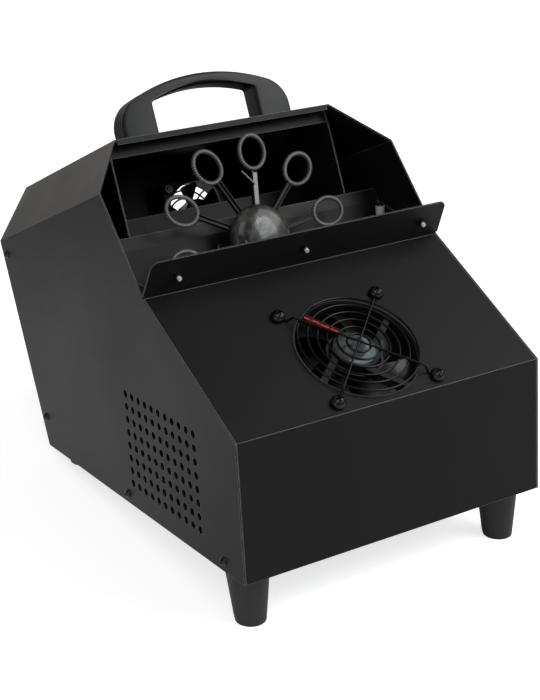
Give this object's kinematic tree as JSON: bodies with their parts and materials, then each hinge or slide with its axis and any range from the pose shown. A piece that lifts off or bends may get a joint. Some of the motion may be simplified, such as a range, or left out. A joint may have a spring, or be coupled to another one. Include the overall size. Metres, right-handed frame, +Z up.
{
  "type": "bubble machine",
  "caption": "Black sheet-metal bubble machine with a motor-driven wand wheel over a fluid tank, two guarded fans, a carrying handle and rubber feet.",
  "frame": {"origin": "on the floor, at the middle of the machine's length and width", "axes": "+X to the machine's right seen from the front, +Y towards the rear panel, +Z up; the front faces -Y"},
  "size_m": [0.2552, 0.4012, 0.3102],
  "materials": {
    "coat": "satin powder coat",
    "black_screws": "gloss black",
    "bright_steel": "polished",
    "zinc_can": "satin",
    "fan_plastic": "satin",
    "guard_wire": "gloss black",
    "label": "satin",
    "lead_red": "satin",
    "lead_black": "satin",
    "hub_plastic": "satin",
    "wand_plastic": "satin",
    "smoke": "gloss",
    "bronze": "satin",
    "handle_plastic": "satin",
    "rubber": "matte",
    "circuit_board": "satin",
    "nylon": "satin",
    "core": "satin",
    "can_sleeve": "gloss",
    "terminal_green": "satin",
    "moulded_black": "satin",
    "rocker_black": "gloss"
  },
  "bodies": {
    "body": {"chassis": "coat", "outer_cover": "coat", "rear_panel": "coat", "back_plate": "coat", "splash_shield": "coat", "fluid_tank": "coat", "post_screws": "black_screws", "lip_screws": "black_screws", "lip_nuts": "black_screws", "cover_screws": "black_screws", "front_fan_screws": "black_screws", "rear_fan_screws": "black_screws", "tank_posts": "bright_steel", "front_fan_nuts": "bright_steel", "rear_fan_nuts": "bright_steel", "motor_screws": "bright_steel", "handle_screws": "bright_steel", "foot_screws": "bright_steel", "foot_nuts": "bright_steel", "inlet_pins": "bright_steel", "inlet_screws": "bright_steel", "gearbox": "zinc_can", "motor": "zinc_can", "front_fan_frame": "fan_plastic", "rear_fan_frame": "fan_plastic", "front_fan_guard": "guard_wire", "rear_fan_guard": "guard_wire", "front_fan_label": "label", "front_fan_lead_red": "lead_red", "front_fan_lead_black": "lead_black", "shaft_bush": "bronze", "handle": "handle_plastic", "front_feet": "rubber", "rear_feet": "rubber", "supply_board": "circuit_board", "board_spacers": "nylon", "transformer": "core", "capacitors": "can_sleeve", "terminal_block": "terminal_green", "inlet_socket": "moulded_black", "switch_frame": "moulded_black"},
    "wheel": {"wheel_hub": "hub_plastic", "hub_cap": "smoke", "hub_nut": "bright_steel", "arm_clip": "bright_steel", "wheel_shaft": "bright_steel", "wand_1": "wand_plastic", "wand_2": "wand_plastic", "wand_3": "wand_plastic", "wand_4": "wand_plastic", "wand_5": "wand_plastic", "wand_6": "wand_plastic", "wand_7": "wand_plastic", "wand_8": "wand_plastic", "wand_9": "wand_plastic", "wand_10": "wand_plastic"},
    "front_rotor": {"front_fan_rotor": "fan_plastic"},
    "rear_rotor": {"rear_fan_rotor": "fan_plastic"},
    "drawer": {"fuse_drawer": "moulded_black"},
    "rocker": {"switch_rocker": "rocker_black"}
  },
  "joints": [
    {"name": "wheel_spin", "type": "hinge", "parent": "body", "child": "wheel", "pos_m": [0, -0.01509, 0.20352], "axis": [0, -0.8987, 0.4385], "continuous": true},
    {"name": "front_fan_spin", "type": "hinge", "parent": "body", "child": "front_rotor", "pos_m": [0, -0.14482, 0.16357], "axis": [0, -0.4225, 0.9064], "continuous": true},
    {"name": "rear_fan_spin", "type": "hinge", "parent": "body", "child": "rear_rotor", "pos_m": [0.048, 0.17855, 0.15366], "axis": [0, 0.8987, -0.4385], "continuous": true},
    {"name": "drawer_pull", "type": "slide", "parent": "body", "child": "drawer", "axis": [0, 0.8987, -0.4385], "range_m": [0, 0.018]},
    {"name": "rocker_press", "type": "hinge", "parent": "body", "child": "rocker", "pos_m": [-0.066, 0.12663, 0.04953], "axis": [1, 0, 0], "range_deg": [0, 14]}
  ]
}
